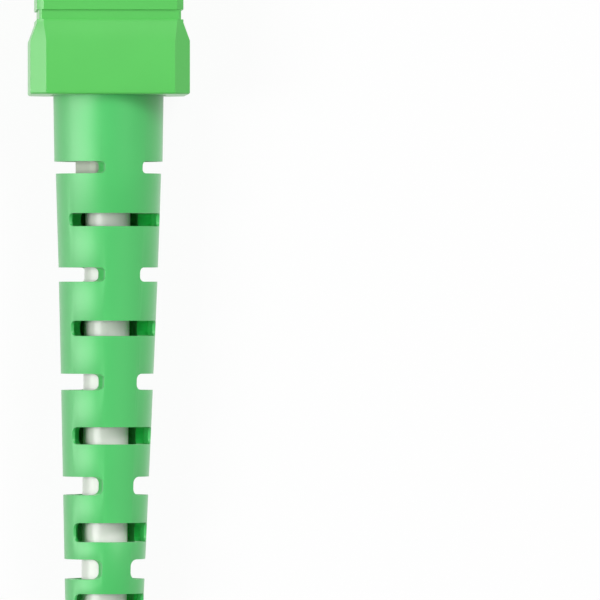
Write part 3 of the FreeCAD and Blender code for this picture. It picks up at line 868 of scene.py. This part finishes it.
def hank_point(turn):
    """A control point of the cable in the hank: round the stadium, clockwise from above."""
    diameter = sizes().cable_diameter / MM
    column, layer = hank_place(turn)
    radius = INNER_TURN + (COLUMNS - 1 - column) * diameter
    step = math.tau * radius / POINTS_PER_TURN
    radius /= 0.75 + 0.25 * math.cos(step / radius)
    half = math.pi * radius
    around = 2 * (HANK_RUN + half)
    way = (turn % 1.0) * around
    centre_x = -(INNER_TURN + (COLUMNS - 1) * diameter)
    front = HANK_HIGH.y / MM - (INNER_TURN + (COLUMNS - 0.5) * diameter)
    back = front - HANK_RUN
    height = diameter * (0.5 + layer)
    if way < HANK_RUN:
        return centre_x + radius, front - way, height
    if way < HANK_RUN + half:
        bend = (way - HANK_RUN) / radius
        return centre_x + radius * math.cos(bend), back - radius * math.sin(bend), height
    if way < 2 * HANK_RUN + half:
        return centre_x - radius, back + way - HANK_RUN - half, height
    bend = (way - 2 * HANK_RUN - half) / radius
    return centre_x - radius * math.cos(bend), front + radius * math.sin(bend), height


def cable_points():
    """The cable's control points, in metres: the lead, then the turns of the hank."""
    count = int(TURNS * POINTS_PER_TURN)
    tail = lean_at(BOOT_LOW.y) / MM
    points = [(x + part * tail, y, z) for part, (x, y, z) in zip(LEAD_SHARES, LEAD)]
    points += [hank_point((i + 0.5) / POINTS_PER_TURN) for i in range(count)]
    return [Vector(p) * MM for p in points]


def strap(name, low, high, y):
    """A flat strap round a bundle from low to high (x, z), with round corners and a lapped end."""
    width, thickness, corner, steps = STRAP_WIDTH, STRAP_THICKNESS, STRAP_CORNER, 6
    bm = bmesh.new()
    loops = []
    for offset in (0.0, thickness):
        ring = []
        centres = ((high[0] - corner, low[1] + corner, -90), (high[0] - corner, high[1] - corner, 0),
                   (low[0] + corner, high[1] - corner, 90), (low[0] + corner, low[1] + corner, 180))
        for x, z, start in centres:
            for i in range(steps + 1):
                t = math.radians(start + 90 * i / steps)
                ring.append((x + (corner + offset) * math.cos(t), z + (corner + offset) * math.sin(t)))
        loops.append(ring)
    rows = [[bm.verts.new((x, y + side * width / 2, z)) for x, z in ring]
            for side in (-1, 1) for ring in loops]
    order = (rows[0], rows[2], rows[3], rows[1])
    count = len(rows[0])
    for a, b in zip(order, order[1:] + order[:1]):
        for i in range(count):
            bm.faces.new((a[i], a[(i + 1) % count], b[(i + 1) % count], b[i]))
    top = high[1] + thickness
    corners = [bm.verts.new((x, y + side * width * TAB_SHARE, top + TAB_LIFT))
               for x in (low[0] + corner, high[0] - TAB_STOP) for side in (-1, 1)]
    upper = [bm.verts.new(v.co + Vector((0, 0, thickness))) for v in corners]
    a, b, c, d = corners
    e, f, g, h = upper
    for face in ((a, b, d, c), (e, g, h, f), (a, e, f, b), (c, d, h, g), (a, c, g, e), (b, f, h, d)):
        bm.faces.new(face)
    bmesh.ops.recalc_face_normals(bm, faces=bm.faces)
    piece = put_object(name, mesh_from(bm, name))
    return soften(piece, 0.08 * MM, segments=2)


class PLUG_OT_cable(bpy.types.Operator):
    """Lays the cable from the boot into its tied hank"""
    bl_idname = "plug.cable"
    bl_label = "Cable"

    def execute(self, context):
        size = sizes()
        points = cable_points()
        curve = bpy.data.curves.new("cable", "CURVE")
        curve.dimensions = "3D"
        curve.bevel_depth = size.cable_diameter / 2
        curve.bevel_resolution = 7
        curve.use_fill_caps = True
        spline = curve.splines.new("NURBS")
        spline.points.add(len(points) - 1)
        for point, place in zip(spline.points, points):
            point.co = (*place, 1.0)
        spline.order_u = 3
        spline.use_endpoint_u = True
        spline.resolution_u = 6
        cable = put_object("cable", curve)
        paint(cable, jacket_white())
        pieces = self.bare_end(points[-1], (points[-1] - points[-2]).normalized())
        pieces += self.ties()
        for piece in pieces:
            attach(piece, INNER)
        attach(cable, INNER)
        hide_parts("cord_lead", "cord_hank")
        return {"FINISHED"}

    def bare_end(self, end, way):
        """The buffer and the yarn that show at the cut end."""
        turned_to = Vector((0, 1, 0)).rotation_difference(way).to_matrix().to_4x4()
        placed = Matrix.Translation(end) @ turned_to @ Matrix.Translation((0, 0, -AXIS_Z))
        pieces = []
        for name, radius, reach, material, slot_name in (
                ("buffer_stub", 0.45 * MM, 1.2 * MM, buffer_white(), "buffer_white"),
                ("yarn_stub", 0.86 * MM, 0.5 * MM, yarn_gold(), "aramid")):
            piece = lathe(name, [(0, -STUB_ROOT), (radius, -STUB_ROOT), (radius, reach - STUB_EDGE),
                                 (radius - STUB_EDGE, reach), (0, reach)], rings=48)
            piece.data.transform(placed)
            soften(piece, 0.02 * MM, segments=2)
            paint(piece, material)
            pieces.append(piece)
        return pieces

    def ties(self):
        """Two straps, one round each run of the hank."""
        diameter = sizes().cable_diameter
        bundle = COLUMNS * diameter
        middle = HANK_HIGH.y - (INNER_TURN * MM + (COLUMNS - 0.5) * diameter) - HANK_RUN * MM / 2
        pile = looped("Strap Pile", colours().tie)
        pieces = []
        for name, left in (("hank_tie_right", HANK_HIGH.x - bundle), ("hank_tie_left", HANK_LOW.x)):
            piece = strap(name, (left, STRAP_BOTTOM), (left + bundle, HANK_HIGH.z), middle)
            pieces.append(paint(piece, pile))
        return pieces


# ---------------------------------------------------------------- stage

FLOOR_HALF = 1.5
FLOOR_GLOW = 0.93  # how much of the floor shows as plain white; the rest keeps the part's shadow
VIEW_CENTRE = (11.83 * MM, -8.17 * MM, AXIS_Z)
LENS, SENSOR = 600.0, 36.0


def shown(graph):
    """1 for what the camera sees straight, mirrored or through glass, and 0 for what lights the part."""
    path = graph.add("ShaderNodeLightPath").outputs
    return graph.math("MAXIMUM", path["Is Camera Ray"],
                      graph.math("MAXIMUM", path["Is Glossy Ray"], path["Is Transmission Ray"]))


def lamp(name, place, target, width, height, glow, **seen):
    """A softbox aimed at a point; glow is its brightness where white is 1."""
    light = bpy.data.lights.new(name, "AREA")
    light.shape = "RECTANGLE"
    light.size, light.size_y = width, height
    light.energy = glow * math.pi * width * height
    item = put_object(name, light)
    item.location = place
    item.rotation_mode = "QUATERNION"
    item.rotation_quaternion = (Vector(target) - Vector(place)).to_track_quat("-Z", "Y")
    item.visible_camera = False
    for key, value in seen.items():
        setattr(item, "visible_" + key, value)
    return item


class PLUG_OT_stage(bpy.types.Operator):
    """Sets the floor, the light and the camera"""
    bl_idname = "plug.stage"
    bl_label = "Stage"

    def execute(self, context):
        stage = context.scene.plug_stage
        self.floor()
        self.world(stage.fill_glow)
        middle = (0, 0, AXIS_Z)
        lamp("fill_softbox", (0.51, 0.51, 0.76), middle, 0.5, 0.5, stage.key_glow)
        lamp("side_softbox", (-0.70, 0.0, 0.386), middle, 0.45, 0.87, stage.side_glow, diffuse=False)
        lamp("slot_softbox", (-0.53, 0.0, 0.62), middle, 0.20, 0.35, stage.slot_glow, glossy=False)
        self.camera(stage)
        context.scene.view_settings.view_transform = "Standard"
        return {"FINISHED"}

    def floor(self):
        """A pale floor that shows as the white surroundings and keeps the part's soft shadow."""
        bm = bmesh.new()
        corners = ((-1, -1), (1, -1), (1, 1), (-1, 1))
        bm.faces.new([bm.verts.new((x * FLOOR_HALF, y * FLOOR_HALF, 0.0)) for x, y in corners])
        floor = put_object("floor", mesh_from(bm, "floor"))
        material = bpy.data.materials.new("Floor")
        material.use_nodes = True
        material.node_tree.nodes.clear()
        graph = Graph(material.node_tree)
        plain = graph.add("ShaderNodeBsdfDiffuse", None, {"Color": (*colours().floor, 1.0)})
        white = graph.add("ShaderNodeEmission", None, {"Color": (1, 1, 1, 1), "Strength": 1.0})
        lift = graph.math("MULTIPLY", shown(graph), FLOOR_GLOW)
        mixed = graph.add("ShaderNodeMixShader", None, {0: lift, 1: plain.outputs[0], 2: white.outputs[0]})
        graph.add("ShaderNodeOutputMaterial", None, {"Surface": mixed.outputs[0]})
        paint(floor, material)

    def world(self, fill):
        """Soft light from all round, which shows as white."""
        world = bpy.data.worlds.new("Studio")
        bpy.context.scene.world = world
        world.use_nodes = True
        world.node_tree.nodes.clear()
        graph = Graph(world.node_tree)
        dim = graph.add("ShaderNodeBackground", None, {"Color": (1, 1, 1, 1), "Strength": fill})
        white = graph.add("ShaderNodeBackground", None, {"Color": (1, 1, 1, 1), "Strength": 1.0})
        mixed = graph.add("ShaderNodeMixShader", None, {
            0: shown(graph), 1: dim.outputs[0], 2: white.outputs[0]})
        graph.add("ShaderNodeOutputWorld", None, {"Surface": mixed.outputs[0]})

    def camera(self, stage):
        """A long lens straight above, leaning a little to the left."""
        data = bpy.data.cameras.new("camera")
        data.type = "PERSP"
        data.lens, data.sensor_width = LENS, SENSOR
        data.clip_start, data.clip_end = 0.05, 10.0
        camera = put_object("camera", data)
        distance = stage.view_width * LENS / SENSOR
        aside = stage.camera_lean
        camera.location = Vector(VIEW_CENTRE) + distance * Vector((-math.sin(aside), 0, math.cos(aside)))
        right, up = Vector((math.cos(aside), 0, math.sin(aside))), Vector((0, 1, 0))
        turned = Matrix((right, up, right.cross(up))).transposed()
        camera.rotation_mode = "QUATERNION"
        camera.rotation_quaternion = turned.to_quaternion()
        bpy.context.scene.camera = camera


# ---------------------------------------------------------------- panel and registration

class PLUG_PT_panel(bpy.types.Panel):
    """Lists the steps"""
    bl_label = "Fibre Plug"
    bl_idname = "PLUG_PT_panel"
    bl_space_type = "VIEW_3D"
    bl_region_type = "UI"
    bl_category = "Fibre Plug"

    def draw(self, context):
        for step in STEPS:
            self.layout.operator(step.bl_idname)
        for group in (context.scene.plug_sizes, context.scene.plug_colours, context.scene.plug_stage):
            for name in group.__annotations__:
                self.layout.prop(group, name)


GROUPS = {"plug_sizes": PlugSizes, "plug_colours": PlugColours, "plug_stage": StageSettings}
STEPS = (PLUG_OT_stage, PLUG_OT_cable, PLUG_OT_housing, PLUG_OT_boot, PLUG_OT_inner, PLUG_OT_ferrule,
         PLUG_OT_spring)
CLASSES = tuple(GROUPS.values()) + STEPS + (PLUG_PT_panel,)


def register():
    """Adds the classes and the scene's settings."""
    for item in CLASSES:
        bpy.utils.register_class(item)
    for name, group in GROUPS.items():
        setattr(bpy.types.Scene, name, PointerProperty(type=group))


def unregister():
    """Removes them."""
    for name in GROUPS:
        delattr(bpy.types.Scene, name)
    for item in reversed(CLASSES):
        bpy.utils.unregister_class(item)


def main():
    """Runs every step."""
    register()
    for step in STEPS:
        group, name = step.bl_idname.split(".")
        getattr(getattr(bpy.ops, group), name)()


if __name__ == "__main__":
    main()
